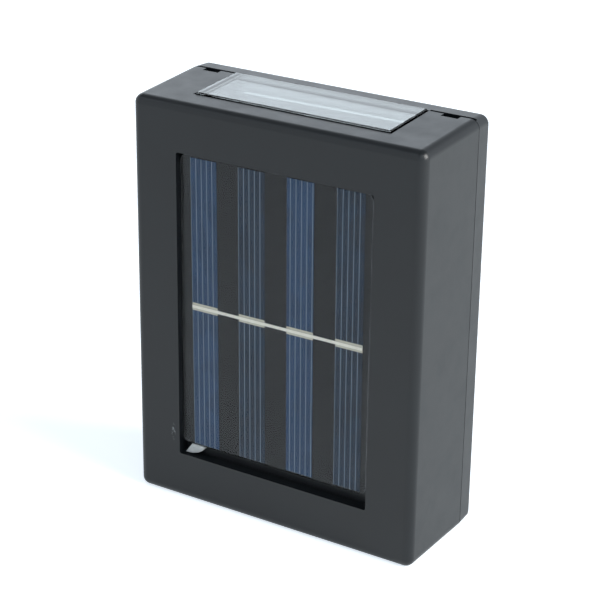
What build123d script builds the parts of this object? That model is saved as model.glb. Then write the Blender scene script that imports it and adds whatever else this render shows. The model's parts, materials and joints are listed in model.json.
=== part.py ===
from build123d import *
from math import atan2, degrees
import os

# Solar fence light: a shallow black box that hangs on a fence post or wall.
# A solar panel fills a sunk window in the front, and a clear lens in the top
# and another in the underside let the light out upwards and downwards.
# A tub-shaped front shell holds the panel, the lenses and their reflectors.
# A tray-shaped rear cover closes it and carries the battery, the circuit
# board with its slide switch, and two keyhole pockets to hang the light by.
#
# Frame: +X to the right seen from the front, +Y into the light, +Z up.
# The origin is in the middle of the underside. All sizes are millimetres.

# Case
case_width = 90.7           # at the joint between shell and cover, where it is widest
case_height = 119.8         # at the joint as well
case_depth = 35.0
cover_depth = 6.7           # rear cover, seen from the side
side_draft = 0.4            # each side wall of the shell comes in this much to the front
top_fall = 1.3              # the top falls this much to the front, to shed rain
cover_draft = 0.25          # the walls of the cover come in this much to the back
edge_radius = 2.5
rear_edge_radius = 1.5
wall = 2.0
inner_radius = 1.0
rim_relief = 0.9            # open joint line beside each lens, cut into the cover
relief_end = 1.2            # how far from each side that open line stops
parting_gap = 0.2           # joint line between the rims of shell and cover

# Clearances
seat_gap = 0.05             # pieces that rest on or against each other
slide_gap = 0.2             # pieces that are pushed into a channel or a hole
thread_gap = 0.05           # screw shank in its pilot hole

# Solar panel in its sunk window
window_side = 14.7          # from each side of the case to the window
window_bottom = 14.2
window_top = 15.1
window_corner = 0.6
recess_depth = 1.2          # from the front face down to the panel
panel_left_gap = 0.3        # the panel is smaller than its recess, and is stuck
panel_right_gap = 1.1       # down towards its upper left corner
panel_top_gap = 0.6
panel_bottom_gap = 3.5
panel_corner = 2.0
resin_thickness = 0.7
resin_edge = 0.45
panel_board_thickness = 1.2
tape_thickness = 0.5
tape_width = 4.0
tray_wall = 1.4
tray_floor = 1.6
wire_hole_width = 12.0
wire_hole_height = 8.0
cell_count = 4
cell_width = 8.4
cell_thickness = 0.2
cell_left_margin = 3.6      # from the side of the panel to the nearest cell
cell_right_margin = 1.9
cell_end_margin = 0.45
cell_skew = 0.4             # degrees that the row of cells lies out of true
pad_height = 2.2
pad_thickness = 0.05
ribbon_height = 0.9
ribbon_thickness = 0.15
ribbon_drop = 0.4           # how far the ribbon lies below the panel's middle
film_gap = 0.03

# Lens, reflector and light-emitting board, one set at each end
slot_side = 14.8            # from each side of the case to the slot
slot_front = 8.2            # from the front face to the slot
lens_gap = 0.5
lens_rear_gap = 0.15
lens_overlap = 1.3          # how far the lens flange reaches under the wall
lens_edge = 0.4
lens_flange = 1.2
top_lens_proud = 0.5
bottom_lens_proud = -0.3    # sunk, so that the light stands on its case
rim_thickness = 1.2
rim_border = 0.9            # reflector rim that shows inside the lens
basin_depth = 5.5
basin_end_run = 8.0
basin_wall = 1.0
rail_thickness = 1.2
rail_ledge = 1.2
rail_end = 1.0              # rails stop this far short of the joint
led_count = 2
led_pitch = 24.0
led_length = 3.5
led_width = 2.8
led_height = 1.4
led_bevel = 0.3
led_window_gap = 0.4
led_board_length = 42.0
led_board_width = 7.0
led_board_thickness = 1.0

# Case screws and their bosses
screw_inset = 8.5           # from the side of the case to each screw
screw_bottom = 9.5
screw_top = 11.5            # from the top of the case down to each upper screw
boss_radius = 3.5
cover_boss_radius = 4.2
screw_shank_radius = 1.2
screw_head_radius = 2.6
screw_head_height = 1.8
screw_sink = 2.6            # depth of the hole that takes the screw head
screw_length = 11.0
screw_tip = 1.2
cross_width = 0.6
cross_depth = 1.0
cross_reach = 0.6           # each arm of the cross, as a share of the head's radius
gusset_thickness = 1.2
rib_thickness = 1.0
rib_spread = 44.0           # between the ribs beside the tray
end_rib_spread = 36.0       # between the ribs above and below the tray
lip_height = 2.5
lip_thickness = 1.2

# Notches that let a blade lift the cover, and the relief behind the lens gate
notch_side = 7.9            # from the side of the case to the notch's middle
notch_width = 5.0
notch_depth = 2.0            # from the joint line
gate_width = 6.0
gate_depth = 0.5

# Keyhole pockets
keyhole_side = 12.35        # from the side of the case to the keyhole
keyhole_drop = 35.8         # from the top of the case to the middle of the round entry
keyhole_radius = 4.0
keyhole_slot_width = 4.2
keyhole_slot_rise = 8.0
keyhole_pocket_depth = 3.2
keyhole_head_room = 0.6     # how much wider the pocket is than the entry
keyhole_pocket_wall = 1.2

# Circuit board and slide switch
board_width = 50.0
board_height = 26.0
board_thickness = 1.2
board_drop = 38.0           # from the top of the case to the middle of the board
board_screw_offset = 21.0
board_boss_radius = 2.8
board_screw_shank = 0.9
board_screw_head = 1.9
board_screw_head_height = 1.2
board_screw_length = 5.0
switch_length = 10.0
switch_width = 5.0
switch_height = 4.4
switch_base_thickness = 1.0
switch_can = 0.3
switch_travel = 2.5
switch_play = 0.3
knob_length = 3.0
knob_width = 2.0
slider_length = 5.0
slider_height = 1.4
knob_sink = 0.3             # knob stays this far inside the rear face
switch_recess_length = 14.0
switch_recess_width = 9.0
switch_recess_depth = 1.4
switch_recess_floor = 1.2
knob_window_gap = 0.5
knob_ridge_pitch = 0.75
component_offset = 9.0      # parts on the board, left and right of its middle
component_rise = 6.0        # and above and below it
chip_length = 5.0
chip_width = 4.0
chip_height = 1.5
coil_radius = 1.7
coil_length = 7.0
capacitor_radius = 2.5
capacitor_height = 7.0

# Battery, its holder and contacts
battery_radius = 7.1
battery_length = 49.5
battery_nub_radius = 2.75
battery_nub_length = 1.0
can_bevel = 0.6
sleeve_thickness = 0.15
battery_drop = 27.0         # from the board's lower edge to the battery's axis
holder_wall = 1.3
holder_gap = 0.35
holder_side = 11.0          # depth of the holder's long walls
contact_thickness = 0.4
contact_size = 9.0
spring_radius = 3.2
spring_wire = 0.35
spring_facets = 6
spring_turns = 3
spring_length = 4.0

# Flat two-core leads to the lights and the panel, and single wires to the battery
lead_width = 2.2
lead_thickness = 1.0
lead_bend = 3.0
lead_side = 18.0            # from the middle to the lead of each light board
lead_offset = 2.5           # from the light board's middle line, so as to pass the battery
lead_landing = 9.0          # from the middle of the main board up or down to the lead's end
wire_radius = 0.5
wire_facets = 6
wire_side = 22.5            # from the middle to the end of each battery wire

front = -case_depth / 2
rear = case_depth / 2
parting = rear - cover_depth
cover_inside = rear - wall
shell_depth = parting - front
through = 1.5 * wall        # how far a cut through a wall reaches
window_width = case_width - 2 * window_side
window_height = case_height - window_bottom - window_top
window_middle = window_bottom + window_height / 2
panel_stack = resin_thickness + panel_board_thickness + tape_thickness + 2 * seat_gap
pocket_floor = front + recess_depth + panel_stack
tray_back = pocket_floor + tray_floor
resin_front = front + recess_depth
panel_board_front = resin_front + resin_thickness + seat_gap
panel_board_back = panel_board_front + panel_board_thickness
panel_width = window_width - panel_left_gap - panel_right_gap
panel_height = window_height - panel_top_gap - panel_bottom_gap
panel_x = (panel_left_gap - panel_right_gap) / 2
panel_z = window_middle + (panel_bottom_gap - panel_top_gap) / 2


def cover_fall(y):
    """How far the cover's walls have come in at the depth y."""
    return cover_draft * max(0, y - parting) / cover_depth


def side_at(y):
    """Half the width of the case at the depth y."""
    return case_width / 2 - side_draft * max(0, parting - y) / shell_depth - cover_fall(y)


def top_at(y):
    """Height of the top of the case at the depth y."""
    return case_height - top_fall * max(0, parting - y) / shell_depth - cover_fall(y)


def box_between(low, high):
    """A plain block between two opposite corners."""
    size = [high[i] - low[i] for i in range(3)]
    middle = [(high[i] + low[i]) / 2 for i in range(3)]
    return Pos(*middle) * Box(*size)


def depth_rod(x, z, y_from, y_to, radius):
    """A round rod that runs into the light."""
    rod = Cylinder(radius, y_to - y_from)
    return Pos(x, (y_from + y_to) / 2, z) * Rot(90, 0, 0) * rod


def runs_in_depth(edge):
    return abs(edge.tangent_at(0.5).Y) > 0.9


def case_block(y_from, y_to, inset):
    """The drafted outside of the case between two depths, made smaller by an inset."""
    corners = [(-1, y_from), (1, y_from), (1, y_to), (-1, y_to)]
    plan = Polyline([(s * (side_at(y) - inset), y) for s, y in corners], close=True)
    side = Polyline((y_from, cover_fall(y_from) + inset), (y_to, cover_fall(y_to) + inset),
                    (y_to, top_at(y_to) - inset), (y_from, top_at(y_from) - inset), close=True)
    upright = extrude(make_face(plan), case_height)
    across = extrude(Plane.YZ * make_face(side), case_width, both=True)
    return upright & across


def hollow_block(y_from, y_to, inset, radius):
    """A case block with its four long corners rounded."""
    block = case_block(y_from, y_to, inset)
    return fillet(block.edges().filter_by(runs_in_depth), radius)


# Each end of the case has its own deck: a frame whose origin is on the outer
# face in the middle of the joint line, with z pointing out of the case and y
# running back along the wall. What an end holds is made once and placed twice.
top_deck = Pos(0, parting, top_at(parting)) * Rot(degrees(atan2(top_fall, shell_depth)), 0, 0)
bottom_deck = Pos(0, parting, 0) * Rot(0, 180, 0)
decks = {"top": top_deck, "bottom": bottom_deck}
lens_proud = {"top": top_lens_proud, "bottom": bottom_lens_proud}

slot_width = case_width - 2 * slot_side
slot_length = parting - front - slot_front
flange_half = slot_width / 2 + lens_overlap
flange_front = -slot_length - lens_overlap
flange_top = -wall - seat_gap
flange_bottom = flange_top - lens_flange
rim_top = flange_bottom - seat_gap
rim_bottom = rim_top - rim_thickness
rail_inside = flange_half + slide_gap
rail_outside = rail_inside + rail_thickness
ledge_top = rim_bottom - seat_gap
basin_half = slot_width / 2 - lens_gap - rim_border
basin_front = -slot_length + lens_gap + rim_border
basin_rear = -lens_rear_gap - rim_border
basin_middle = (basin_front + basin_rear) / 2
basin_bottom = rim_bottom - basin_depth
led_board_top = basin_bottom - basin_wall - seat_gap
led_places = [(i - (led_count - 1) / 2) * led_pitch for i in range(led_count)]


def lens(proud):
    """Clear plate that fills the slot, with a flange that stays under the wall."""
    half = slot_width / 2 - lens_gap
    plate = box_between((-half, -slot_length + lens_gap, flange_bottom), (half, -lens_rear_gap, proud))
    plate = fillet(plate.faces().sort_by(Axis.Z)[-1].edges(), lens_edge)
    flange = box_between((-flange_half, flange_front, flange_bottom),
                         (flange_half, -lens_rear_gap, flange_top))
    flange = fillet(flange.edges().filter_by(Axis.Z), inner_radius)
    return plate + flange


def basin(grow):
    """The hollow of the reflector, or its outside when grown by the wall.

    It is where two troughs meet: one curved across the light and one that
    curves up at both ends.
    """
    top = rim_bottom
    low = basin_bottom - grow
    y_front = basin_front - grow
    y_rear = basin_rear + grow
    across = make_face([
        Line((y_rear, top), (y_front, top)),
        ThreePointArc((y_front, top), (basin_middle, low), (y_rear, top)),
    ])
    x_end = basin_half + grow
    x_flat = basin_half - basin_end_run
    along = make_face([
        Line((x_end, top), (-x_end, top)),
        TangentArc((-x_flat, low), (-x_end, top), tangent=(-1, 0)),
        Line((-x_flat, low), (x_flat, low)),
        TangentArc((x_flat, low), (x_end, top), tangent=(1, 0)),
    ])
    trough = extrude(Plane.YZ * across, case_width / 2, both=True)
    boat = extrude(Plane.XZ * along, case_depth, both=True)
    return trough & boat


def reflector():
    """Bright moulded tray under the lens, with a window for each light."""
    rim = box_between((-flange_half, flange_front, rim_bottom), (flange_half, -lens_rear_gap, rim_top))
    rim = fillet(rim.edges().filter_by(Axis.Z), inner_radius)
    foot = box_between(
        (-led_board_length / 2, basin_middle - led_board_width / 2, led_board_top + seat_gap),
        (led_board_length / 2, basin_middle + led_board_width / 2, basin_bottom + basin_wall))
    tray = rim + basin(basin_wall) + foot
    tray -= basin(0)
    tray -= box_between((-basin_half, basin_front, rim_bottom), (basin_half, basin_rear, rim_top))
    for x in led_places:
        hole = Box(led_length + 2 * led_window_gap, led_width + 2 * led_window_gap, 4 * basin_wall)
        tray -= Pos(x, basin_middle, basin_bottom - basin_wall / 2) * hole
    return tray


def led_board():
    """Narrow board that lies against the underside of the reflector."""
    board = Box(led_board_length, led_board_width, led_board_thickness)
    board = fillet(board.edges().filter_by(Axis.Z), inner_radius)
    return Pos(0, basin_middle, led_board_top - led_board_thickness / 2) * board


def led_group():
    """Surface-mounted lights, each a small package with a bevelled top."""
    light = Pos(0, 0, led_height / 2) * Box(led_length, led_width, led_height)
    light = chamfer(light.faces().sort_by(Axis.Z)[-1].edges(), led_bevel)
    return [Pos(x, basin_middle, led_board_top + seat_gap) * light for x in led_places]


def lens_rails():
    """Channel under the wall that the lens and its reflector are pushed into."""
    rails = []
    low = ledge_top - rail_ledge
    channel_front = flange_front - slide_gap
    for side in (-1, 1):
        inner, outer = sorted((side * rail_inside, side * rail_outside))
        rails.append(box_between((inner, channel_front, low), (outer, -rail_end, -wall / 2)))
        inner, outer = sorted((side * (basin_half + basin_wall + slide_gap), side * rail_outside))
        rails.append(box_between((inner, channel_front, low), (outer, -rail_end, ledge_top)))
    stop = box_between((-rail_outside, channel_front - rail_thickness, low),
                       (rail_outside, channel_front, -wall / 2))
    return rails + [stop]


def screw_places():
    """Middle of each case screw, as (x, z)."""
    x = case_width / 2 - screw_inset
    return [(side * x, z) for side in (-1, 1) for z in (screw_bottom, case_height - screw_top)]


def tray_ribs():
    """Thin ribs that tie the panel's tray to the walls around it."""
    y_low = front + wall / 2
    x_inner = window_width / 2 + tray_wall / 2
    x_outer = side_at(front) - wall / 2
    z_tray = window_height / 2 + tray_wall / 2
    ribs = []
    for side in (-1, 1):
        x_low, x_high = sorted((side * x_inner, side * x_outer))
        for end in (-1, 1):
            z = window_middle + end * rib_spread / 2
            ribs.append(box_between((x_low, y_low, z - rib_thickness / 2),
                                    (x_high, tray_back, z + rib_thickness / 2)))
            x = side * end_rib_spread / 2
            z_wall = wall / 2 if end < 0 else top_at(front) - wall / 2
            z_low, z_high = sorted((window_middle + end * z_tray, z_wall))
            ribs.append(box_between((x - rib_thickness / 2, y_low, z_low),
                                    (x + rib_thickness / 2, tray_back, z_high)))
    return ribs


def front_shell():
    outer = case_block(front, parting - parting_gap, 0)
    front_edges = outer.faces().sort_by(Axis.Y)[0].edges()
    shell = fillet(outer.edges().filter_by(runs_in_depth) + front_edges, edge_radius)
    shell -= hollow_block(front + wall, parting, wall, inner_radius)

    # Sunk window with the tray that carries the panel
    tray = Box(window_width + 2 * tray_wall, tray_back - front - wall / 2, window_height + 2 * tray_wall)
    tray = fillet(tray.edges().filter_by(Axis.Y), window_corner + tray_wall)
    shell += Pos(0, (tray_back + front + wall / 2) / 2, window_middle) * tray
    shell += tray_ribs()
    pocket = Box(window_width, 2 * (pocket_floor - front), window_height)
    pocket = fillet(pocket.edges().filter_by(Axis.Y), window_corner)
    shell -= Pos(0, front, window_middle) * pocket
    wire_hole = Box(wire_hole_width, 4 * tray_floor, wire_hole_height)
    wire_hole = fillet(wire_hole.edges().filter_by(Axis.Y), inner_radius)
    shell -= Pos(0, tray_back, window_middle) * wire_hole

    # Slot, channel and notches at each end
    for deck in decks.values():
        for rail in lens_rails():
            shell += deck * rail
        shell -= deck * box_between((-slot_width / 2, -slot_length, -through), (slot_width / 2, wall, wall))
        for side in (-1, 1):
            notch = Box(notch_width, 2 * notch_depth, 2 * through)
            shell -= deck * Pos(side * (case_width / 2 - notch_side), 0, 0) * notch

    # Screw bosses, each tied to the side wall by a gusset
    for x, z in screw_places():
        boss = depth_rod(x, z, front + wall / 2, parting - seat_gap, boss_radius)
        reach = side_at(front) - wall / 2
        gusset = box_between((min(abs(x), reach), front + wall / 2, z - gusset_thickness / 2),
                             (reach, parting - lip_height - 2 * slide_gap, z + gusset_thickness / 2))
        if x < 0:
            gusset = mirror(gusset, Plane.YZ)
        shell += boss + gusset
        pilot = screw_shank_radius + thread_gap
        shell -= depth_rod(x, z, parting - screw_length, parting + wall, pilot)
    return shell


def keyhole_outline():
    """Round entry with a slot that rises from it."""
    slot = Pos(0, keyhole_slot_rise / 2) * Rectangle(keyhole_slot_width, keyhole_slot_rise)
    return Circle(keyhole_radius) + slot + Pos(0, keyhole_slot_rise) * Circle(keyhole_slot_width / 2)


def rear_plane(x, z, y):
    """Plane at the depth y that faces backwards, with +Z up."""
    return Plane(origin=(x, y, z), x_dir=(-1, 0, 0), z_dir=(0, 1, 0))


def keyhole_pocket_outline(grow):
    """Room behind the keyhole for the head of the screw that it hangs on."""
    radius = keyhole_radius + keyhole_head_room + grow
    return SlotCenterToCenter(keyhole_slot_rise, 2 * radius, rotation=90)


knob_middle = -switch_travel / 2
board_middle = case_height - board_drop
board_back = rear - switch_recess_depth - switch_recess_floor - seat_gap - switch_height
board_front = board_back - board_thickness
board_screw_places = [(side * board_screw_offset, board_middle) for side in (-1, 1)]
holder_back = cover_inside - seat_gap
battery_axis = holder_back - holder_wall - holder_gap - battery_radius
battery_height = board_middle - board_height / 2 - battery_drop


def rear_cover():
    cover = hollow_block(parting, rear, 0, edge_radius)
    cover = fillet(cover.faces().sort_by(Axis.Y)[-1].edges(), rear_edge_radius)
    cover -= hollow_block(parting - wall, cover_inside, wall, inner_radius)

    # Lip that enters the shell, open where the lenses and their rails are
    lip = hollow_block(parting - lip_height, parting + wall, wall + slide_gap, inner_radius)
    lip += hollow_block(parting, parting + wall, wall / 2, inner_radius)
    lip -= hollow_block(parting - 2 * lip_height, parting + 2 * wall,
                        wall + slide_gap + lip_thickness, inner_radius)
    lens_bay = rail_outside + 2 * slide_gap
    lip -= box_between((-lens_bay, parting - 2 * lip_height, -1), (lens_bay, rear, case_height + 1))
    cover += lip

    # Screw posts
    for x, z in screw_places():
        cover += depth_rod(x, z, parting, rear - wall / 2, cover_boss_radius)
        cover -= depth_rod(x, z, parting - lip_height, parting, boss_radius + slide_gap)
        cover -= depth_rod(x, z, parting - 1, rear + 1, screw_shank_radius + 2 * slide_gap)
        cover -= depth_rod(x, z, rear - screw_sink, rear + 1, screw_head_radius + 2 * slide_gap)

    # Keyhole pockets, closed on the inside
    pocket_back = cover_inside - keyhole_pocket_depth
    entry = case_height - keyhole_drop
    pocket_middle = entry + keyhole_slot_rise / 2
    for side in (-1, 1):
        x = side * (case_width / 2 - keyhole_side)
        block = rear_plane(x, pocket_middle, pocket_back - keyhole_pocket_wall)
        cover += extrude(block * keyhole_pocket_outline(keyhole_pocket_wall),
                         keyhole_pocket_depth + keyhole_pocket_wall + wall / 2)
        room = rear_plane(x, pocket_middle, pocket_back)
        cover -= extrude(room * keyhole_pocket_outline(0), keyhole_pocket_depth)
        hole = rear_plane(x, entry, pocket_back + keyhole_pocket_depth / 2)
        cover -= extrude(hole * keyhole_outline(), keyhole_pocket_depth + wall)

    # Sunk switch window
    swell_half = switch_recess_length / 2 + wall
    swell_rise = switch_recess_width / 2 + wall
    swell_front = rear - switch_recess_depth - switch_recess_floor
    cover += box_between((-swell_half, swell_front, board_middle - swell_rise),
                         (swell_half, cover_inside + wall / 2, board_middle + swell_rise))
    recess = Box(switch_recess_length, 2 * switch_recess_depth, switch_recess_width)
    recess = fillet(recess.edges().filter_by(Axis.Y), 2 * inner_radius)
    cover -= Pos(0, rear, board_middle) * recess
    window = Box(knob_length + switch_travel + 2 * knob_window_gap, 4 * wall,
                 knob_width + 2 * knob_window_gap)
    cover -= Pos(0, rear, board_middle) * window

    # Posts for the circuit board
    for x, z in board_screw_places:
        cover += depth_rod(x, z, board_back + seat_gap, cover_inside + wall / 2, board_boss_radius)
        pilot_end = board_back + board_screw_length
        cover -= depth_rod(x, z, board_back, pilot_end, board_screw_shank + thread_gap)

    # Open joint line beside each lens, and relief for the lens's moulding gate
    relief_low = -wall - slide_gap / 2
    for deck in decks.values():
        for side in (-1, 1):
            inner, outer = sorted((side * slot_width / 2, side * (case_width / 2 - relief_end)))
            cover -= deck * box_between((inner, -wall, relief_low), (outer, rim_relief, wall))
        cover -= deck * Box(gate_width, 2 * gate_depth, 2 * through)
    return cover


def screw(shank_radius, head_radius, head_height, length, tip, cross):
    """Cross-head screw standing on its head, with the shank along +Z."""
    head = Pos(0, 0, -head_height / 2) * Cylinder(head_radius, head_height)
    head = chamfer(head.edges().sort_by(Axis.Z)[0], head_height / 3)
    for turn in (0, 90):
        slot = Box(2 * cross_reach * head_radius, cross, 2 * cross_depth)
        head -= Pos(0, 0, -head_height) * Rot(0, 0, turn) * slot
    shank = Pos(0, 0, (length - tip) / 2) * Cylinder(shank_radius, length - tip)
    point = Pos(0, 0, length - tip / 2) * Cone(shank_radius, shank_radius / 4, tip)
    return head + shank + point


def case_screws():
    seat = rear - screw_sink + seat_gap
    made = screw(screw_shank_radius, screw_head_radius, screw_head_height,
                 screw_length, screw_tip, cross_width)
    return [Pos(x, seat, z) * Rot(90, 0, 0) * made for x, z in screw_places()]


def solar_panel():
    """The panel's pieces by name: board, tape, cells, pads, ribbon and clear resin."""
    board = Box(panel_width, panel_board_thickness, panel_height)
    board = fillet(board.edges().filter_by(Axis.Y), panel_corner)
    board = Pos(panel_x, (panel_board_front + panel_board_back) / 2, panel_z) * board

    tape = Box(panel_width, tape_thickness, panel_height)
    tape = fillet(tape.edges().filter_by(Axis.Y), panel_corner)
    tape -= Box(panel_width - 2 * tape_width, 2 * tape_thickness, panel_height - 2 * tape_width)
    tape = Pos(panel_x, panel_board_back + seat_gap / 2 + tape_thickness / 2, panel_z) * tape

    # The cells lie in a row of their own frame, a little out of true on the board
    cell_front = panel_board_front - cell_thickness
    pad_front = cell_front - pad_thickness
    ribbon_front = pad_front - ribbon_thickness
    row = Pos(panel_x, 0, panel_z) * Rot(0, -cell_skew, 0)
    row_start = cell_left_margin - panel_width / 2
    row_end = panel_width / 2 - cell_right_margin
    cell_pitch = (row_end - row_start - cell_width) / (cell_count - 1)
    places = [row_start + cell_width / 2 + i * cell_pitch for i in range(cell_count)]
    cell_rise = panel_height / 2 - cell_end_margin

    def over_cell(x, y_from, y_to, z_low, z_high, gap):
        """A block as wide as a cell, with a gap around it."""
        return row * box_between((x - cell_width / 2 - gap, y_from - gap, z_low - gap),
                                 (x + cell_width / 2 + gap, y_to, z_high + gap))

    def over_row(y_from, y_to, gap):
        """A block as long as the ribbon, with a gap around it."""
        rise = ribbon_height / 2 + gap
        return row * box_between((row_start - gap, y_from - gap, -ribbon_drop - rise),
                                 (row_end + gap, y_to, -ribbon_drop + rise))

    pad_low = -ribbon_drop - pad_height / 2
    pad_high = -ribbon_drop + pad_height / 2
    cells = [over_cell(x, cell_front, panel_board_front, -cell_rise, cell_rise, 0) for x in places]
    pads = [over_cell(x, pad_front, cell_front, pad_low, pad_high, 0) for x in places]
    ribbon = over_row(ribbon_front, pad_front, 0)

    resin = Box(panel_width, resin_thickness, panel_height)
    resin = fillet(resin.edges().filter_by(Axis.Y), panel_corner)
    resin = fillet(resin.faces().sort_by(Axis.Y)[0].edges(), resin_edge)
    resin = Pos(panel_x, resin_front + resin_thickness / 2, panel_z) * resin
    back = resin_front + 2 * resin_thickness
    for x in places:
        resin -= over_cell(x, cell_front, back, -cell_rise, cell_rise, film_gap)
        resin -= over_cell(x, pad_front, back, pad_low, pad_high, film_gap)
    resin -= over_row(ribbon_front, back, film_gap)

    pieces = {"panel_board": board, "panel_tape": tape, "cell_pads": pads,
              "cell_ribbon": ribbon, "panel_resin": resin}
    for number, cell in enumerate(cells, start=1):
        pieces[f"solar_cell_{number}"] = cell
    return pieces


def circuit_board():
    """The main board's pieces by name."""
    board = Box(board_width, board_thickness, board_height)
    board = fillet(board.edges().filter_by(Axis.Y), inner_radius)
    board = Pos(0, (board_front + board_back) / 2, board_middle) * board
    for x, z in board_screw_places:
        board -= depth_rod(x, z, board_front - 1, board_back + 1, board_screw_shank + slide_gap)
    fastener = screw(board_screw_shank, board_screw_head, board_screw_head_height,
                     board_screw_length, board_screw_shank, cross_width / 2)
    under_head = board_front - seat_gap
    screws = [Pos(x, under_head, z) * Rot(-90, 0, 0) * fastener for x, z in board_screw_places]

    chip_place = board_front - seat_gap - chip_height / 2
    chip = Box(chip_length, chip_height, chip_width)
    chip = chamfer(chip.faces().sort_by(Axis.Y)[0].edges(), chip_height / 5)
    chip = Pos(-component_offset, chip_place, board_middle + component_rise) * chip
    coil_place = Pos(component_offset, board_front - seat_gap - coil_radius, board_middle + component_rise)
    coil = coil_place * Rot(0, 90, 0) * Cylinder(coil_radius, coil_length)
    coil = chamfer(coil.edges().filter_by(GeomType.CIRCLE), coil_radius / 3)
    can_back = board_front - seat_gap
    can = depth_rod(-component_offset, board_middle - component_rise,
                    can_back - capacitor_height, can_back, capacitor_radius)
    can = chamfer(can.faces().sort_by(Axis.Y)[0].edges(), capacitor_radius / 6)
    return {"main_board": board, "board_screws": screws, "control_chip": chip,
            "choke_coil": coil, "capacitor": can}


def slide_switch():
    """The switch's fixed base and can, and the slider whose knob shows at the back."""
    base_back = board_back + seat_gap + switch_base_thickness
    base = box_between((-switch_length / 2, board_back + seat_gap, board_middle - switch_width / 2),
                       (switch_length / 2, base_back, board_middle + switch_width / 2))
    can_front = base_back + seat_gap
    can_back = board_back + switch_height
    can = box_between((-switch_length / 2, can_front, board_middle - switch_width / 2),
                      (switch_length / 2, can_back, board_middle + switch_width / 2))
    can = fillet(can.faces().sort_by(Axis.Y)[-1].edges(), switch_can)
    room_half = switch_length / 2 - switch_can
    room_rise = switch_width / 2 - switch_can
    can -= box_between((-room_half, can_front - 1, board_middle - room_rise),
                       (room_half, can_back - switch_can, board_middle + room_rise))
    knob_slot = Box(knob_length + switch_travel + 2 * switch_play, 4 * switch_can,
                    knob_width + 2 * switch_play)
    can -= Pos(0, can_back, board_middle) * knob_slot

    block_width = switch_width - 2 * switch_can - 2 * switch_play
    block_back = can_back - switch_can - switch_play
    block = box_between((-slider_length / 2, block_back - slider_height, -block_width / 2),
                        (slider_length / 2, block_back, block_width / 2))
    knob = box_between((-knob_length / 2, block_back - slider_height / 2, -knob_width / 2),
                       (knob_length / 2, rear - knob_sink, knob_width / 2))
    ridges = int(knob_length / knob_ridge_pitch) - 1
    for i in range(ridges):
        x = (i - (ridges - 1) / 2) * knob_ridge_pitch
        groove = Box(knob_ridge_pitch / 2, knob_ridge_pitch, 2 * knob_width)
        knob -= Pos(x, rear - knob_sink, 0) * groove
    slider = Pos(knob_middle, 0, board_middle) * (block + knob)
    return {"switch_base": base, "switch_can": can, "switch_slider": slider}


def battery_pack():
    """The rechargeable cell, its sleeve, holder and contacts, lying across the light."""
    bay_half = (battery_length + battery_nub_length + spring_length) / 2 + contact_thickness
    cell_left = bay_half - contact_thickness - 2 * seat_gap - battery_nub_length - battery_length
    body = Cylinder(battery_radius - sleeve_thickness, battery_length)
    body = chamfer(body.edges().filter_by(GeomType.CIRCLE), can_bevel)
    nub = Pos(0, 0, battery_length / 2 + battery_nub_length / 2) * Cylinder(
        battery_nub_radius, battery_nub_length)
    lie_down = Pos(cell_left + battery_length / 2, battery_axis, battery_height) * Rot(0, 90, 0)
    cell = lie_down * (body + nub)
    sleeve = Cylinder(battery_radius, battery_length - 2 * can_bevel - seat_gap)
    sleeve -= Cylinder(battery_radius - sleeve_thickness + film_gap, battery_length)
    sleeve = lie_down * sleeve

    outer_half = bay_half + holder_wall
    z_half = battery_radius + holder_gap + holder_wall
    floor = holder_back - holder_wall
    holder = box_between((-outer_half, holder_back - holder_side, battery_height - z_half),
                         (outer_half, holder_back, battery_height + z_half))
    holder = fillet(holder.edges().filter_by(Axis.Y), inner_radius)
    bay = box_between((-bay_half, holder_back - 2 * holder_side, battery_height - z_half + holder_wall),
                      (bay_half, floor, battery_height + z_half - holder_wall))
    holder -= bay

    contact = Box(contact_thickness, contact_size, contact_size)
    contact = fillet(contact.edges().filter_by(Axis.X), inner_radius)
    right_plate = Pos(bay_half - seat_gap - contact_thickness / 2, battery_axis, battery_height) * contact
    left_plate = Pos(-bay_half + seat_gap + contact_thickness / 2, battery_axis, battery_height) * contact
    spring_start = -bay_half + seat_gap + contact_thickness
    spring_run = cell_left - spring_start - 2 * spring_wire - seat_gap
    path = Helix(spring_run / spring_turns, spring_run, spring_radius - spring_wire)
    section = Plane(origin=path @ 0, z_dir=path % 0) * RegularPolygon(spring_wire, spring_facets)
    coil = sweep(section, path=path, is_frenet=True)
    spring = Pos(spring_start + spring_wire, battery_axis, battery_height) * Rot(0, 90, 0) * coil
    return {"battery_cell": cell, "battery_sleeve": sleeve, "battery_holder": holder,
            "positive_contact": right_plate, "negative_contact": left_plate, "negative_spring": spring}


def lead(points, outline):
    """Bent lead of the given outline, whose width stays along X."""
    path = FilletPolyline(*points, radius=lead_bend)
    start = Plane(origin=path @ 0, x_dir=(1, 0, 0), z_dir=path % 0)
    return sweep(start * outline, path=path)


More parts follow.
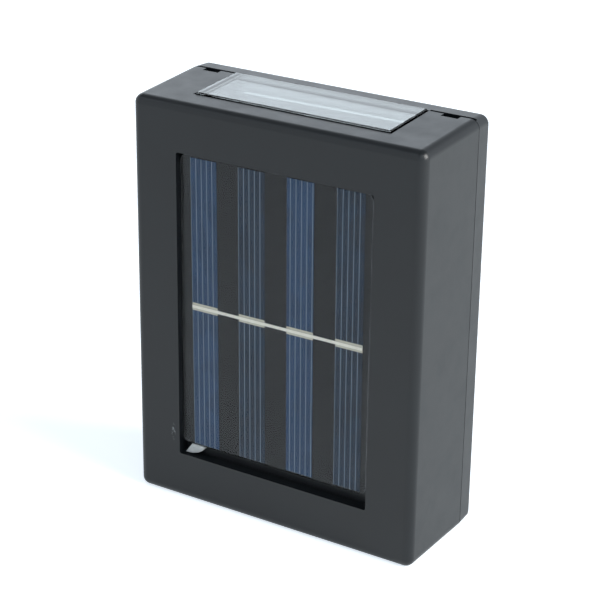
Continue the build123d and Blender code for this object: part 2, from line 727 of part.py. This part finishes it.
def wiring():
    """Leads by name, each from its board or contact to the face of the main board."""
    flat = Rectangle(lead_width, lead_thickness)
    board_face = board_front - seat_gap
    upper = board_middle + lead_landing
    lower = board_middle - lead_landing
    leads = {}
    for end, landing in (("top", upper), ("bottom", lower)):
        tail = Pos(lead_side, basin_middle - lead_offset, led_board_top - led_board_thickness - seat_gap)
        start = (decks[end] * tail).position
        points = [start, (start.X, start.Y, landing), (start.X, board_face, landing)]
        leads[f"{end}_led_lead"] = lead(points, flat)

    turn = tray_back + 2 * lead_bend
    points = [(0, panel_board_back + seat_gap, window_middle), (0, turn, window_middle),
              (0, turn, lower), (0, board_face, lower)]
    leads["panel_lead"] = lead(points, flat)

    contact_front = battery_axis - contact_size / 2 - seat_gap
    contact_x = (battery_length + battery_nub_length + spring_length + contact_thickness) / 2 - seat_gap
    run = min(parting + basin_middle - lead_offset, contact_front - lead_bend - seat_gap)
    for name, side in (("positive", 1), ("negative", -1)):
        points = [(side * contact_x, contact_front, battery_height), (side * contact_x, run, battery_height),
                  (side * wire_side, run, lower), (side * wire_side, board_face, lower)]
        leads[f"{name}_wire"] = lead(points, RegularPolygon(wire_radius, wire_facets))
    return leads


def all_pieces():
    pieces = {"front_shell": front_shell(), "rear_cover": rear_cover(), "case_screws": case_screws()}
    for end, deck in decks.items():
        pieces[f"{end}_lens"] = deck * lens(lens_proud[end])
        pieces[f"{end}_reflector"] = deck * reflector()
        pieces[f"{end}_led_board"] = deck * led_board()
        pieces[f"{end}_leds"] = [deck * light for light in led_group()]
    pieces.update(solar_panel())
    pieces.update(circuit_board())
    pieces.update(slide_switch())
    pieces.update(battery_pack())
    pieces.update(wiring())
    return pieces


os.makedirs("parts", exist_ok=True)
for name, piece in all_pieces().items():
    solids = piece if isinstance(piece, list) else [piece]
    node = Compound(children=[solid for shape in solids for solid in shape.solids()])
    node.label = name
    export_step(node, f"parts/{name}.step")
    print(name, len(node.solids()), "solids", round(sum(s.volume for s in node.solids()), 1), "mm3")
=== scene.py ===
import json
import math

import bmesh
import bpy
from mathutils import Matrix, Vector


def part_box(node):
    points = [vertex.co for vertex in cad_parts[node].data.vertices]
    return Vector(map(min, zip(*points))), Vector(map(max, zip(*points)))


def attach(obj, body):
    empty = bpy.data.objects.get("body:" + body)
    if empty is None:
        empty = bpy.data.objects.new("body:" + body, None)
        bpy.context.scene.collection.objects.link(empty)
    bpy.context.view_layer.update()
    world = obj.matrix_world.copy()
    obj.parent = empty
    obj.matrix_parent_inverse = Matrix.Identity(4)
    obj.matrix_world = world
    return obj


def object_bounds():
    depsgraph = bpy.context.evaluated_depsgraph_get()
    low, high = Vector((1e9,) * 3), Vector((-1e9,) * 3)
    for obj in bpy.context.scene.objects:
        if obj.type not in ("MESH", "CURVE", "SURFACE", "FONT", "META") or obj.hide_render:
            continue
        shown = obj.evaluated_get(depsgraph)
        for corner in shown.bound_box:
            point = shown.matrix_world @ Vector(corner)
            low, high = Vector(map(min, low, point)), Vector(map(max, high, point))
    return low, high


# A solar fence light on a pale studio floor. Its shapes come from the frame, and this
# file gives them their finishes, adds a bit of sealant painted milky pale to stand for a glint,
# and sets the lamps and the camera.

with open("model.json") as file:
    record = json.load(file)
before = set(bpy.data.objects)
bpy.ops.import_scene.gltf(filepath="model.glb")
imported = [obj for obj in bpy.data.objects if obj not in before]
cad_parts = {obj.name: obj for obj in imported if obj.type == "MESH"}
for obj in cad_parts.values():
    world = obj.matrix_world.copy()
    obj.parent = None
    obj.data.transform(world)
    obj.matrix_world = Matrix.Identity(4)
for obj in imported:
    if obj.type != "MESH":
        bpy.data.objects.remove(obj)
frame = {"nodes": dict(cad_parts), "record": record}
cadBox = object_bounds()
nodes = frame["nodes"]
mm = 0.001
print("frame loaded:", len(nodes), "nodes")


def linear(hexColour):
    # an sRGB hex value as the linear colour that shaders take
    parts = [int(hexColour[i:i + 2], 16) / 255 for i in (0, 2, 4)]
    return [c / 12.92 if c <= 0.04045 else ((c + 0.055) / 1.055) ** 2.4 for c in parts] + [1.0]


def add(tree, kind, inputs=None, **settings):
    # adds a node with its settings, and links or sets each of its inputs
    node = tree.nodes.new("ShaderNode" + kind)
    for name, value in settings.items():
        setattr(node, name, value)
    for name, value in (inputs or {}).items():
        if isinstance(value, bpy.types.NodeSocket):
            tree.links.new(value, node.inputs[name])
        else:
            node.inputs[name].default_value = value
    return node


def newMaterial(name):
    material = bpy.data.materials.new(name)
    material.use_nodes = True
    material.node_tree.nodes.clear()
    return material, material.node_tree


def wear(tree, at, size, span, detail=3):
    # an uneven value that drifts over a span, in soft patches of the given size
    noise = add(tree, "TexNoise", {"Vector": at, "Scale": 1 / size, "Detail": detail, "Roughness": 0.6})
    spread = add(tree, "MapRange", {"Value": noise.outputs["Fac"], "From Min": 0.3, "From Max": 0.7,
                                    "To Min": span[0], "To Max": span[1]})
    return spread.outputs["Result"]


def mottled(tree, at, size, shades):
    # a colour that drifts between two close shades
    mix = add(tree, "MixRGB", {"Fac": wear(tree, at, size, (0.0, 1.0)),
                               "Color1": linear(shades[0]), "Color2": linear(shades[1])})
    return mix.outputs["Color"]


def grain(tree, at, size, relief):
    # fine moulded or etched grain as a bump
    noise = add(tree, "TexNoise", {"Vector": at, "Scale": 1 / size, "Detail": 2.0, "Roughness": 0.5})
    bump = add(tree, "Bump", {"Height": noise.outputs["Fac"], "Distance": relief, "Strength": 1.0})
    return bump.outputs["Normal"]


def specks(tree, at, spacing, radius, share):
    # sparse round specks: 1 inside a speck, 0 elsewhere
    cells = add(tree, "TexVoronoi", {"Vector": at, "Scale": 1 / spacing, "Randomness": 1.0})
    near = add(tree, "Math", {0: cells.outputs["Distance"], 1: radius / spacing}, operation="LESS_THAN")
    pick = add(tree, "SeparateColor", {"Color": cells.outputs["Color"]})
    few = add(tree, "Math", {0: pick.outputs["Red"], 1: share}, operation="LESS_THAN")
    return add(tree, "Math", {0: near.outputs[0], 1: few.outputs[0]}, operation="MULTIPLY").outputs[0]


blackAbsLook = {
    "shades": ("0b0f13", "0f1418"),        # near-black with a cool drift
    "rough": (0.30, 0.38),
    "patch": 14 * mm,
    "grain": 0.6 * mm,                     # really about 0.1 mm, too fine to show
    "relief": 0.006 * mm,
    "dust": "6d7376",
    "dustSpacing": 8 * mm, "dustRadius": 0.14 * mm,
    "dustShare": 0.2,                      # of the places that could hold a speck
    "scuff": "a0a5a8",
    "scuffPlace": (-0.0327, -0.0175, 0.0205),   # beside the window's lower left corner
    "scuffReach": (0.9 * mm, 4 * mm, 3.0 * mm),
    "fleckSize": 1.1 * mm,
    "fleckSpan": (-1.0, 1.2),              # below 0 the plastic is unmarked
}


def blackAbs():
    # black ABS moulded in a fine spark-eroded tool: a satin skin that mirrors pale
    # surroundings softly and turns lighter at a glance
    look = blackAbsLook
    material, tree = newMaterial("blackAbs")
    at = add(tree, "TexCoord").outputs["Object"]
    clean = mottled(tree, at, look["patch"], look["shades"])
    dust = specks(tree, at, look["dustSpacing"], look["dustRadius"], look["dustShare"])
    dusty = add(tree, "MixRGB", {"Fac": dust, "Color1": clean, "Color2": linear(look["dust"])})
    # a small scuff: broken pale flecks inside a soft oval
    away = add(tree, "VectorMath", {0: at, 1: look["scuffPlace"]}, operation="SUBTRACT").outputs[0]
    oval = add(tree, "VectorMath", {0: away, 1: look["scuffReach"]}, operation="DIVIDE").outputs[0]
    far = add(tree, "VectorMath", {0: oval}, operation="LENGTH").outputs["Value"]
    inside = add(tree, "MapRange", {"Value": far, "From Min": 0.5, "From Max": 1.0,
                                    "To Min": 1.0, "To Max": 0.0})
    flecks = wear(tree, at, look["fleckSize"], look["fleckSpan"], detail=4)
    broken = add(tree, "Math", {0: inside.outputs["Result"], 1: flecks}, operation="MULTIPLY", use_clamp=True)
    scuffed = add(tree, "MixRGB", {"Fac": broken.outputs[0], "Color1": dusty.outputs["Color"],
                                   "Color2": linear(look["scuff"])})
    shader = add(tree, "BsdfPrincipled", {
        "Base Color": scuffed.outputs["Color"],
        "Roughness": wear(tree, at, look["patch"] / 2, look["rough"]),
        "Normal": grain(tree, at, look["grain"], look["relief"]),
    })
    add(tree, "OutputMaterial", {"Surface": shader.outputs["BSDF"]})
    return material


# acrylic moulded in a polished tool: clear and crisp, with a faint haze from handling
clearAcrylicLook = {"name": "clearAcrylic", "tint": "f3f8f8", "rough": (0.0, 0.02), "patch": 6 * mm,
                    "ior": 1.49}

# epoxy poured over the cells: its rolled edge bends what lies behind it. Part of the gloss of
# its level face is on the board and the cells, so its own index is lower than the usual 1.5
clearResinLook = {"name": "clearResin", "tint": "f6f8fa", "rough": (0.0, 0.03), "patch": 9 * mm,
                  "ior": 1.2}


def clearFinish(look):
    material, tree = newMaterial(look["name"])
    at = add(tree, "TexCoord").outputs["Object"]
    shader = add(tree, "BsdfPrincipled", {
        "Base Color": linear(look["tint"]),
        "Roughness": wear(tree, at, look["patch"], look["rough"]),
        "IOR": look["ior"],
        "Transmission Weight": 1.0,
    })
    add(tree, "OutputMaterial", {"Surface": shader.outputs["BSDF"]})
    return material


silveredLook = {"shades": ("747573", "7d7e7c"), "rough": (0.07, 0.11), "patch": 9 * mm}


def silveredPlastic():
    # moulding metallised in a vacuum: a pale silver skin, with the lamps as soft streaks in its curves
    look = silveredLook
    material, tree = newMaterial("silveredPlastic")
    at = add(tree, "TexCoord").outputs["Object"]
    shader = add(tree, "BsdfPrincipled", {
        "Base Color": mottled(tree, at, look["patch"], look["shades"]),
        "Metallic": 1.0,
        "Roughness": wear(tree, at, look["patch"], look["rough"]),
    })
    add(tree, "OutputMaterial", {"Surface": shader.outputs["BSDF"]})
    return material


siliconLook = {
    "bright": ("1b3755", "244263"),
    "dark": ("0e1e30", "152a3f"),          # every second cell
    "flakeSize": 3.4 * mm,
    "flakeStretch": (1.0, 1.0, 0.45),      # the flakes are tall
    "line": "788b9c",                      # printed silver, seen through the resin
    "lineWidth": 0.2 * mm,
    "linePitch": 1.72 * mm,
    "firstLine": 1.75 * mm,                # from the cell's left side
    "thirdShift": 0.65 * mm,               # the third cell was cut further along its wafer
    "skew": math.radians(0.4),             # the row of cells lies this much out of true
    "rough": (0.03, 0.08),                 # of the resin's level face
    "roughPatch": 3 * mm,
    "gloss": 0.25,                         # half the usual, as the resin above has gloss too
}


def blueSilicon():
    # polycrystalline silicon, sawn and etched: deep blue flakes under thin printed silver lines
    look = siliconLook
    material, tree = newMaterial("blueSilicon")
    at = add(tree, "TexCoord").outputs["Object"]
    first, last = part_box("solar_cell_1"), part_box("solar_cell_4")
    middle = (first[0] + last[1]) / 2
    lean = math.tan(look["skew"]) * (first[1].z - first[0].z)
    pitch = (last[0].x - first[0].x) / 3
    start = first[0].x + lean / 2 - middle.x
    # place across the row, measured square to the cells, as a cell's number and a place in it
    inRow = add(tree, "VectorMath", {0: at, 1: middle}, operation="SUBTRACT").outputs[0]
    square = (math.cos(look["skew"]), 0.0, math.sin(look["skew"]))
    across = add(tree, "VectorMath", {0: inRow, 1: square}, operation="DOT_PRODUCT").outputs["Value"]
    fromStart = add(tree, "Math", {0: across, 1: start}, operation="SUBTRACT").outputs[0]
    counted = add(tree, "Math", {0: fromStart, 1: pitch}, operation="DIVIDE").outputs[0]
    number = add(tree, "Math", {0: counted}, operation="FLOOR").outputs[0]
    inCell = add(tree, "Math", {0: fromStart, 1: pitch}, operation="FLOORED_MODULO").outputs[0]
    # flakes of either kind of cell
    isDark = add(tree, "Math", {0: number, 1: 2.0}, operation="FLOORED_MODULO").outputs[0]
    stretched = add(tree, "Mapping", {"Vector": at, "Scale": look["flakeStretch"]}).outputs["Vector"]
    flakes = add(tree, "TexVoronoi", {"Vector": stretched, "Scale": 1 / look["flakeSize"], "Randomness": 1.0})
    tone = add(tree, "SeparateColor", {"Color": flakes.outputs["Color"]}).outputs["Red"]
    bright, dark = (
        add(tree, "MixRGB", {"Fac": tone, "Color1": linear(shades[0]), "Color2": linear(shades[1])})
        for shades in (look["bright"], look["dark"]))
    silicon = add(tree, "MixRGB", {"Fac": isDark, "Color1": bright.outputs["Color"],
                                   "Color2": dark.outputs["Color"]})
    # the lines, counted from the first one in each cell
    isThird = add(tree, "Math", {0: number, 1: 2.0, 2: 0.5}, operation="COMPARE").outputs[0]
    shift = add(tree, "Math", {0: isThird, 1: look["thirdShift"], 2: -look["firstLine"]},
                operation="MULTIPLY_ADD").outputs[0]
    fromLine = add(tree, "Math", {0: inCell, 1: shift}, operation="ADD").outputs[0]
    lines = add(tree, "Math", {0: fromLine, 1: look["linePitch"]}, operation="DIVIDE").outputs[0]
    nearest = add(tree, "Math", {0: lines}, operation="ROUND").outputs[0]
    off = add(tree, "Math", {0: lines, 1: nearest}, operation="SUBTRACT").outputs[0]
    offset = add(tree, "Math", {0: off}, operation="ABSOLUTE").outputs[0]
    halfLine = look["lineWidth"] / look["linePitch"] / 2
    onLine = add(tree, "Math", {0: offset, 1: halfLine}, operation="LESS_THAN").outputs[0]
    printed = add(tree, "MixRGB", {"Fac": onLine, "Color1": silicon.outputs["Color"],
                                   "Color2": linear(look["line"])})
    shader = add(tree, "BsdfPrincipled", {
        "Base Color": printed.outputs["Color"],
        "Roughness": wear(tree, at, look["roughPatch"], look["rough"]),
        "Specular IOR Level": look["gloss"],
    })
    add(tree, "OutputMaterial", {"Surface": shader.outputs["BSDF"]})
    return material


def plainFinish(look):
    # a finish of two close shades with its own sheen and grain
    material, tree = newMaterial(look["name"])
    at = add(tree, "TexCoord").outputs["Object"]
    shader = add(tree, "BsdfPrincipled", {
        "Base Color": mottled(tree, at, look["patch"], look["shades"]),
        "Metallic": look.get("metallic", 0.0),
        "Specular IOR Level": look.get("gloss", 0.5),
        "Roughness": wear(tree, at, look["patch"] / 2, look["rough"]),
        "Normal": grain(tree, at, look["grain"], look["relief"]),
    })
    add(tree, "OutputMaterial", {"Surface": shader.outputs["BSDF"]})
    return material


# the plain finishes, by the record's slot; patch is the size of the drift from shade to shade
plainLooks = {
    # white ink cured on glass fibre: chalky, with a low sheen
    "white_board": {"name": "whiteSolderMask", "shades": ("dcdcd6", "e6e6e2"), "patch": 6 * mm,
                    "rough": (0.3, 0.4), "grain": 0.4 * mm, "relief": 0.01 * mm},
    # black ink under the resin: it carries part of the gloss and the low waves of the resin's face
    "black_board": {"name": "blackSolderMask", "shades": ("060708", "090a0b"), "patch": 9 * mm,
                    "rough": (0.03, 0.06), "grain": 4 * mm, "relief": 0.001 * mm, "gloss": 0.25},
    # green ink cured over copper: deep and even, with a clear sheen
    "green_board": {"name": "greenSolderMask", "shades": ("1d5a2c", "24683a"), "patch": 6 * mm,
                    "rough": (0.25, 0.35), "grain": 0.4 * mm, "relief": 0.01 * mm},
    # phosphor powder set in silicone: warm yellow and waxy
    "led_phosphor": {"name": "yellowPhosphor", "shades": ("e3c44e", "edd265"), "patch": 1 * mm,
                     "rough": (0.3, 0.45), "grain": 0.2 * mm, "relief": 0.01 * mm},
    # solder set on the cells: a dull warm grey, a little lumpy
    "solder_tin": {"name": "tinnedPad", "shades": ("c4bda6", "d3ccb6"), "patch": 1.2 * mm,
                   "rough": (0.35, 0.5), "grain": 0.5 * mm, "relief": 0.02 * mm},
    # flat copper wire dipped in tin: pale cream with soft ripples
    "tinned_copper": {"name": "tinnedCopper", "shades": ("f3ecd9", "fbf5e6"), "patch": 1.5 * mm,
                      "rough": (0.3, 0.4), "grain": 0.6 * mm, "relief": 0.02 * mm},
    # closed-cell foam: dead matt, with pores
    "foam_tape": {"name": "closedCellFoam", "shades": ("1a1a1a", "242424"), "patch": 2 * mm,
                  "rough": (0.8, 0.95), "grain": 0.4 * mm, "relief": 0.1 * mm},
    # steel plated with zinc: a cool grey metal, softly bright
    "screw_steel": {"name": "zincPlatedSteel", "shades": ("9a9c9e", "b4b6b8"), "patch": 2 * mm,
                    "rough": (0.25, 0.4), "grain": 0.3 * mm, "relief": 0.01 * mm, "metallic": 1.0},
    # filled epoxy, moulded: flat near-black
    "chip_plastic": {"name": "epoxyMoulding", "shades": ("141414", "1c1c1c"), "patch": 2 * mm,
                     "rough": (0.5, 0.6), "grain": 0.2 * mm, "relief": 0.01 * mm},
    # lacquer dipped over a winding: deep glossy green
    "choke_lacquer": {"name": "greenLacquer", "shades": ("2c6b44", "357a50"), "patch": 2 * mm,
                      "rough": (0.2, 0.3), "grain": 0.4 * mm, "relief": 0.01 * mm},
    # film shrunk on a can: dark and tight, with a clear sheen
    "capacitor_sleeve": {"name": "shrinkSleeve", "shades": ("14161f", "1c1f2a"), "patch": 2 * mm,
                         "rough": (0.25, 0.35), "grain": 0.3 * mm, "relief": 0.01 * mm},
    # steel plated with nickel: a warm bright metal with a little haze
    "plated_steel": {"name": "nickelPlatedSteel", "shades": ("b3b2ae", "c4c3bf"), "patch": 3 * mm,
                     "rough": (0.2, 0.35), "grain": 0.3 * mm, "relief": 0.01 * mm, "metallic": 1.0},
    # moulded acetal: near-black and slightly waxy
    "knob_plastic": {"name": "mouldedAcetal", "shades": ("141516", "1b1c1d"), "patch": 3 * mm,
                     "rough": (0.35, 0.45), "grain": 0.2 * mm, "relief": 0.01 * mm},
    # film shrunk round the battery: smooth plain green
    "battery_sleeve": {"name": "batteryFilm", "shades": ("2f6e49", "397c54"), "patch": 6 * mm,
                       "rough": (0.2, 0.3), "grain": 0.6 * mm, "relief": 0.01 * mm},
    # vinyl drawn over the wires: smooth, soft and a little waxy, in three colours
    "lead_sheath": {"name": "whiteSheath", "shades": ("d6d6d0", "e0e0da"), "patch": 3 * mm,
                    "rough": (0.4, 0.5), "grain": 0.5 * mm, "relief": 0.01 * mm},
    "red_wire": {"name": "redSheath", "shades": ("a01c16", "ad241c"), "patch": 3 * mm,
                 "rough": (0.4, 0.5), "grain": 0.5 * mm, "relief": 0.01 * mm},
    "black_wire": {"name": "blackSheath", "shades": ("141414", "1b1b1b"), "patch": 3 * mm,
                   "rough": (0.4, 0.5), "grain": 0.5 * mm, "relief": 0.01 * mm},
}

finishes = {
    "black_abs": blackAbs(),
    "clear_acrylic": clearFinish(clearAcrylicLook),
    "clear_resin": clearFinish(clearResinLook),
    "silvered_plastic": silveredPlastic(),
    "blue_silicon": blueSilicon(),
}
for slot, look in plainLooks.items():
    finishes[slot] = plainFinish(look)

for part in frame["record"]["subparts"]:
    slots = nodes[part["node"]].data.materials
    slots.clear()
    slots.append(finishes[part["material_slot"]])
print("finishes set:", len(finishes))


# the shape of the sealant whose pale colour is a painted glint below the panel
sealantGlintLook = {
    "outline": ((-29.5, 14.5), (-27.4, 14.6), (-25.3, 15.2), (-23.7, 16.2), (-22.7, 17.6), (-27.2, 17.6)),
    "front": -16.3, "back": -13.85,        # from just behind the panel's face to the recess floor
    "round": 0.2,
    "roundSteps": 3,
}

# silicone squeezed out and set, painted milky and pale against the black slot as a painted glint, where clear
# sealant would only catch the light
sealantGlintFinish = {"name": "paintedGlintSealant", "shades": ("b4b8b8", "c8cccc"), "patch": 1.5 * mm,
                 "rough": (0.25, 0.4), "grain": 0.5 * mm, "relief": 0.02 * mm}


def sealantGlintBlob():
    # the bit of set sealant in the slot below the panel, at its lower left corner, its pale colour a painted
    # glint
    look = sealantGlintLook
    shape = bmesh.new()
    corners = [shape.verts.new((x * mm, look["front"] * mm, z * mm)) for x, z in look["outline"]]
    grown = bmesh.ops.extrude_face_region(shape, geom=[shape.faces.new(corners)])["geom"]
    bmesh.ops.translate(shape, verts=[v for v in grown if isinstance(v, bmesh.types.BMVert)],
                        vec=(0.0, (look["back"] - look["front"]) * mm, 0.0))
    bmesh.ops.recalc_face_normals(shape, faces=shape.faces)
    bmesh.ops.bevel(shape, geom=shape.edges[:], offset=look["round"] * mm, segments=look["roundSteps"],
                    profile=0.5, affect="EDGES", material=-1)
    mesh = bpy.data.meshes.new("sealantGlintBlob")
    shape.to_mesh(mesh)
    shape.free()
    for side in mesh.polygons:
        side.use_smooth = True
    mesh.materials.append(plainFinish(sealantGlintFinish))
    piece = bpy.data.objects.new("sealantGlintBlob", mesh)
    bpy.context.scene.collection.objects.link(piece)
    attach(piece, "light")


sealantGlintBlob()
print("sealant made")


floorLook = {
    "size": 8.0,
    "colour": "dce0e2",
    "glow": "eff7ff",
    "seen": 0.78,                          # glow to the camera, which with the lamps makes white
    "mirrored": 0.44,                      # glow in reflections and through clear plastic
    "grain": 1.5 * mm, "relief": 0.02 * mm,
}


def paperFloor():
    # pale paper: white to the camera, softer in reflections, and it still takes the shadow
    look = floorLook
    material, tree = newMaterial("paperFloor")
    at = add(tree, "TexCoord").outputs["Object"]
    path = add(tree, "LightPath")
    bent = add(tree, "Math", {0: path.outputs["Is Glossy Ray"], 1: path.outputs["Is Transmission Ray"]},
               operation="MAXIMUM")
    mirrored = add(tree, "Math", {0: bent.outputs[0], 1: look["mirrored"]}, operation="MULTIPLY")
    glow = add(tree, "Math", {0: path.outputs["Is Camera Ray"], 1: look["seen"], 2: mirrored.outputs[0]},
               operation="MULTIPLY_ADD")
    light = add(tree, "Emission", {"Color": linear(look["glow"]), "Strength": glow.outputs[0]})
    paper = add(tree, "BsdfDiffuse", {"Color": linear(look["colour"]),
                                      "Normal": grain(tree, at, look["grain"], look["relief"])})
    both = add(tree, "AddShader", {0: light.outputs[0], 1: paper.outputs[0]})
    add(tree, "OutputMaterial", {"Surface": both.outputs[0]})
    return material


bpy.ops.mesh.primitive_plane_add(size=floorLook["size"])
floor = bpy.context.object
floor.name = "studioFloor"
floor.data.materials.append(paperFloor())
print("floor laid")


worldLook = {
    "colour": "eff7ff",
    "seen": 1.0,                           # to the camera, in reflections and through clear plastic
    "fill": 0.55,                          # as light on the object
    "ceiling": 0.35,                       # share left straight overhead
    "ceilingHeights": (0.46, 0.7),         # where it starts to darken and is darkest, 1 being overhead
}


def studioWorld():
    # white at the horizon and darker overhead, like a studio under a plain ceiling
    look = worldLook
    world = bpy.data.worlds.new("studioWorld")
    world.use_nodes = True
    tree = world.node_tree
    tree.nodes.clear()
    path = add(tree, "LightPath")
    direct = add(tree, "Math", {0: path.outputs["Is Camera Ray"], 1: path.outputs["Is Glossy Ray"]},
                 operation="ADD")
    seen = add(tree, "Math", {0: direct.outputs[0], 1: path.outputs["Is Transmission Ray"]},
               operation="ADD", use_clamp=True)
    strength = add(tree, "MapRange", {"Value": seen.outputs[0], "To Min": look["fill"],
                                      "To Max": look["seen"]})
    direction = add(tree, "TexCoord").outputs["Generated"]
    height = add(tree, "SeparateXYZ", {"Vector": direction}).outputs["Z"]
    low, high = look["ceilingHeights"]
    overhead = add(tree, "MapRange", {"Value": height, "From Min": low, "From Max": high,
                                      "To Min": 1.0, "To Max": look["ceiling"]},
                   interpolation_type="SMOOTHSTEP")
    shaded = add(tree, "Math", {0: strength.outputs["Result"], 1: overhead.outputs["Result"]},
                 operation="MULTIPLY")
    background = add(tree, "Background", {"Color": linear(look["colour"]), "Strength": shaded.outputs[0]})
    add(tree, "OutputWorld", {"Surface": background.outputs[0]})
    return world


bpy.context.scene.world = studioWorld()
print("world set")


# soft boxes aimed at the light: places in metres, wide and high in metres, power in watts
lampLook = {
    "key": {"place": (0.70, -1.00, 1.30), "wide": 1.0, "high": 1.0, "power": 3.6, "colour": "eaf5ff"},
    # lights the right side, and gives the nearest corner its small highlight
    "side": {"place": (1.35, 0.10, 0.85), "wide": 1.0, "high": 1.0, "power": 33.5, "colour": "f9f8f5"},
    # mirrored in the top
    "back": {"place": (-1.06, 1.10, 0.72), "wide": 1.15, "high": 0.5, "power": 1.9, "colour": "eaf5ff"},
    # a narrow strip, mirrored as the streak along the reflector
    "strip": {"place": (-0.73, -0.74, 1.15), "wide": 1.2, "high": 0.11, "power": 1.0, "colour": "eaf5ff"},
}

aim = (cadBox[0] + cadBox[1]) / 2
for name, look in lampLook.items():
    lamp = bpy.data.lights.new(name + "Lamp", "AREA")
    lamp.shape = "RECTANGLE"
    lamp.size = look["wide"]
    lamp.size_y = look["high"]
    lamp.energy = look["power"]
    lamp.color = linear(look["colour"])[:3]
    holder = bpy.data.objects.new(name + "Lamp", lamp)
    holder.location = look["place"]
    holder.rotation_euler = (aim - holder.location).to_track_quat("-Z", "Y").to_euler()
    bpy.context.scene.collection.objects.link(holder)
print("lamps hung:", len(lampLook))


cameraLook = {
    "place": (0.2565, -0.4173, 0.2702),
    "lens": 115.76, "sensor": 36.0,        # in millimetres
    "near": 0.01,
    "azimuth": 31.75,                      # degrees round from the front
    "tilt": 22.81,                         # degrees below the horizon
    "roll": 0.74,
}

lens = bpy.data.cameras.new("studioCamera")
lens.lens = cameraLook["lens"]
lens.sensor_width = cameraLook["sensor"]
lens.sensor_fit = "HORIZONTAL"
lens.clip_start = cameraLook["near"]
camera = bpy.data.objects.new("studioCamera", lens)
turn = Matrix.Rotation(math.radians(cameraLook["azimuth"]), 4, "Z")
tip = Matrix.Rotation(math.radians(90 - cameraLook["tilt"]), 4, "X")
roll = Matrix.Rotation(math.radians(cameraLook["roll"]), 4, "Z")
camera.matrix_world = Matrix.Translation(Vector(cameraLook["place"])) @ turn @ tip @ roll
bpy.context.scene.collection.objects.link(camera)
bpy.context.scene.camera = camera
bpy.context.scene.view_settings.view_transform = "Standard"
print("camera set")
